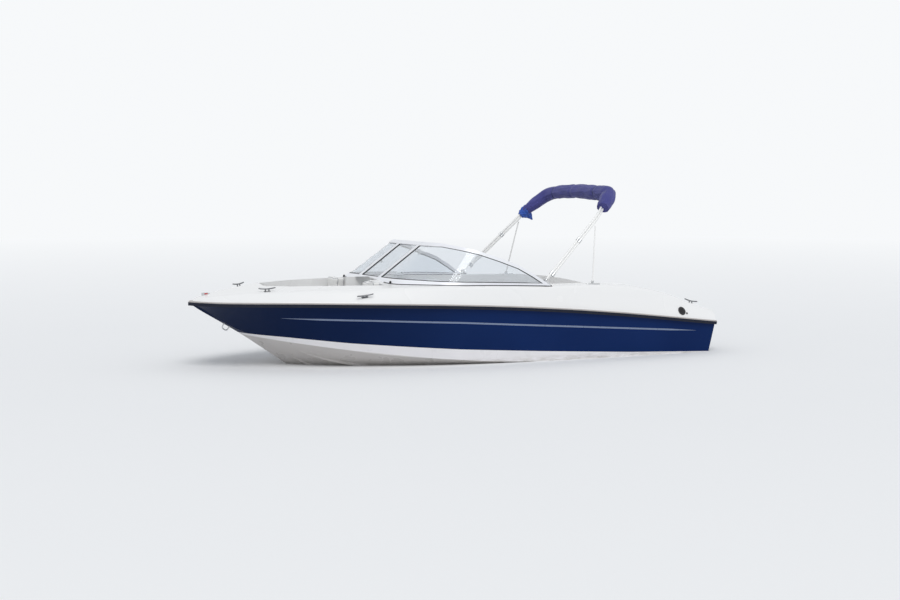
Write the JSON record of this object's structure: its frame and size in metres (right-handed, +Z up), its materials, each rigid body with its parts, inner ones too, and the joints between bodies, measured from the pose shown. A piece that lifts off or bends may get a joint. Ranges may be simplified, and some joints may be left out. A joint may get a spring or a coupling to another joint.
{
  "type": "bowrider runabout boat",
  "caption": "Small sterndrive bowrider with hollow cockpit and bow well, hinged windshield door, folding bimini, opening engine hatch, swivel seats and a steering, tilting drive.",
  "frame": {"origin": "on the centreline amidships, in the plane of the water at rest", "axes": "+X to the bow, +Y to port, +Z up"},
  "size_m": [5.892, 2.1316, 2.6066],
  "materials": {
    "gelcoat_white": "glossy white gelcoat",
    "gelcoat_navy": "glossy navy gelcoat with a thin grey pinstripe",
    "liner_white": "satin off-white gelcoat",
    "rail_black": "satin black vinyl",
    "rail_insert": "satin light grey vinyl",
    "mat_grey": "looped grey carpet",
    "vinyl_white": "soft marine vinyl",
    "engine_black": "satin black paint",
    "drive_black": "gloss black paint",
    "stainless": "polished stainless steel",
    "frame_aluminium": "white anodised aluminium",
    "tube_white": "white enamelled aluminium",
    "glazing": "lightly tinted safety glass",
    "canvas_blue": "navy marine canvas",
    "plastic_black": "matt black plastic",
    "seat_shell": "moulded white plastic",
    "prop_metal": "black painted aluminium"
  },
  "bodies": {
    "boat": {"hull_bottom": "gelcoat_white", "hull_topsides": "gelcoat_navy", "cockpit_sole": "liner_white", "liner": "liner_white", "consoles": "liner_white", "bow_liner": "liner_white", "deck": "gelcoat_white", "rub_rail": "rail_black", "rub_rail_insert": "rail_insert", "cockpit_mat": "mat_grey", "engine_box": "liner_white", "engine_block": "engine_black", "hatch_hinges": "stainless", "jump_seat_cushions": "vinyl_white", "jump_seat_backs": "vinyl_white", "bow_seat_cushions": "vinyl_white", "bow_centre_cushion": "vinyl_white", "bow_seat_backs": "vinyl_white", "seat_pedestals": "frame_aluminium", "helm_column": "plastic_black", "helm_fascia": "liner_white", "door_hinges": "stainless", "instrument_panel": "plastic_black", "windshield_frame_port": "frame_aluminium", "windshield_frame_starboard": "frame_aluminium", "windshield_glass_port": "glazing", "windshield_glass_starboard": "glazing", "bimini_deck_hinges": "stainless", "strut_feet": "stainless", "mooring_cleats": "stainless", "deck_vents": "plastic_black", "hull_eyes": "stainless", "throttle_base": "plastic_black", "bow_light": "stainless", "gimbal_housing": "drive_black"},
    "hatch": {"hatch_lid": "liner_white", "hatch_pad": "vinyl_white"},
    "windshield_door": {"door_frame": "frame_aluminium", "door_glass": "glazing"},
    "companion_seat": {"companion_seat_shell": "seat_shell", "companion_seat_cushion": "vinyl_white"},
    "helm_seat": {"helm_seat_shell": "seat_shell", "helm_seat_cushion": "vinyl_white"},
    "steering_wheel": {"steering_wheel": "plastic_black"},
    "throttle": {"throttle_lever": "plastic_black"},
    "bimini": {"bimini_main_bow": "tube_white", "bimini_second_bow": "tube_white", "bimini_boot": "canvas_blue", "bimini_eye_ends": "stainless"},
    "strut_port": {"strut_port": "tube_white"},
    "strut_starboard": {"strut_starboard": "tube_white"},
    "steering_ring": {"gimbal_ring": "drive_black"},
    "drive": {"drive_upper": "drive_black", "drive_gearcase": "drive_black"},
    "propeller": {"propeller": "prop_metal"},
    "cylinder_port": {"trim_cylinder_port": "drive_black"},
    "cylinder_starboard": {"trim_cylinder_starboard": "drive_black"},
    "rod_port": {"trim_rod_port": "stainless"},
    "rod_starboard": {"trim_rod_starboard": "stainless"}
  },
  "joints": [
    {"name": "hatch_lift", "type": "hinge", "parent": "boat", "child": "hatch", "pos_m": [-2.238, 0, 0.5048], "axis": [0, -1, 0], "range_deg": [0, 55]},
    {"name": "door_swing", "type": "hinge", "parent": "boat", "child": "windshield_door", "pos_m": [0.59407, 0.22775, 0.96751], "axis": [0.8131, 0, -0.5821], "range_deg": [0, 88]},
    {"name": "companion_swivel", "type": "hinge", "parent": "boat", "child": "companion_seat", "pos_m": [-0.56, 0.48, 0.28], "axis": [0, 0, 1], "continuous": true},
    {"name": "helm_swivel", "type": "hinge", "parent": "boat", "child": "helm_seat", "pos_m": [-0.56, -0.48, 0.28], "axis": [0, 0, 1], "continuous": true},
    {"name": "throttle_swing", "type": "hinge", "parent": "boat", "child": "throttle", "pos_m": [0.02, -0.8, 0.44], "axis": [0, 1, 0], "range_deg": [-38, 38]},
    {"name": "drive_steer", "type": "hinge", "parent": "boat", "child": "steering_ring", "pos_m": [-2.75, 0, -0.095], "axis": [0, 0, 1], "range_deg": [-28, 28]},
    {"name": "wheel_turn", "type": "hinge", "parent": "boat", "child": "steering_wheel", "pos_m": [0.105, -0.48, 0.59], "axis": [-0.8829, 0, 0.4695], "range_deg": [-541, 541]},
    {"name": "drive_trim", "type": "hinge", "parent": "steering_ring", "child": "drive", "pos_m": [-2.75, 0, -0.095], "axis": [0, 1, 0], "range_deg": [0, 45]},
    {"name": "prop_spin", "type": "hinge", "parent": "drive", "child": "propeller", "pos_m": [-3.05, 0, -0.645], "axis": [1, 0, 0], "continuous": true},
    {"name": "bimini_tilt", "type": "hinge", "parent": "boat", "child": "bimini", "pos_m": [-0.69, 0, 0.79], "axis": [0, 1, 0], "range_deg": [-36, 0]},
    {"name": "strut_port_fold", "type": "hinge", "parent": "boat", "child": "strut_port", "pos_m": [-1.228, 0.898, 0.765], "axis": [0, 1, 0], "range_deg": [-75.6, 0]},
    {"name": "strut_starboard_fold", "type": "hinge", "parent": "boat", "child": "strut_starboard", "pos_m": [-1.228, -0.898, 0.765], "axis": [0, 1, 0], "range_deg": [-75.6, 0]},
    {"name": "cylinder_port_swing", "type": "hinge", "parent": "steering_ring", "child": "cylinder_port", "pos_m": [-2.75, 0.152, -0.235], "axis": [0, 1, 0], "range_deg": [0, 36]},
    {"name": "rod_port_slide", "type": "slide", "parent": "cylinder_port", "child": "rod_port", "axis": [-0.9848, 0, 0.1738], "range_m": [0, 0.095]},
    {"name": "cylinder_starboard_swing", "type": "hinge", "parent": "steering_ring", "child": "cylinder_starboard", "pos_m": [-2.75, -0.152, -0.235], "axis": [0, 1, 0], "range_deg": [0, 36]},
    {"name": "rod_starboard_slide", "type": "slide", "parent": "cylinder_starboard", "child": "rod_starboard", "axis": [-0.9848, 0, 0.1738], "range_m": [0, 0.095]}
  ],
  "couplings": [
    {"joint": "wheel_turn", "follows": "drive_steer", "ratio": 19.3},
    {"joint": "strut_port_fold", "follows": "bimini_tilt", "ratio": 2.1},
    {"joint": "strut_starboard_fold", "follows": "bimini_tilt", "ratio": 2.1},
    {"joint": "cylinder_port_swing", "follows": "drive_trim", "ratio": 0.79},
    {"joint": "rod_port_slide", "follows": "drive_trim", "m_per_rad": 0.1196},
    {"joint": "cylinder_starboard_swing", "follows": "drive_trim", "ratio": 0.79},
    {"joint": "rod_starboard_slide", "follows": "drive_trim", "m_per_rad": 0.1196}
  ]
}
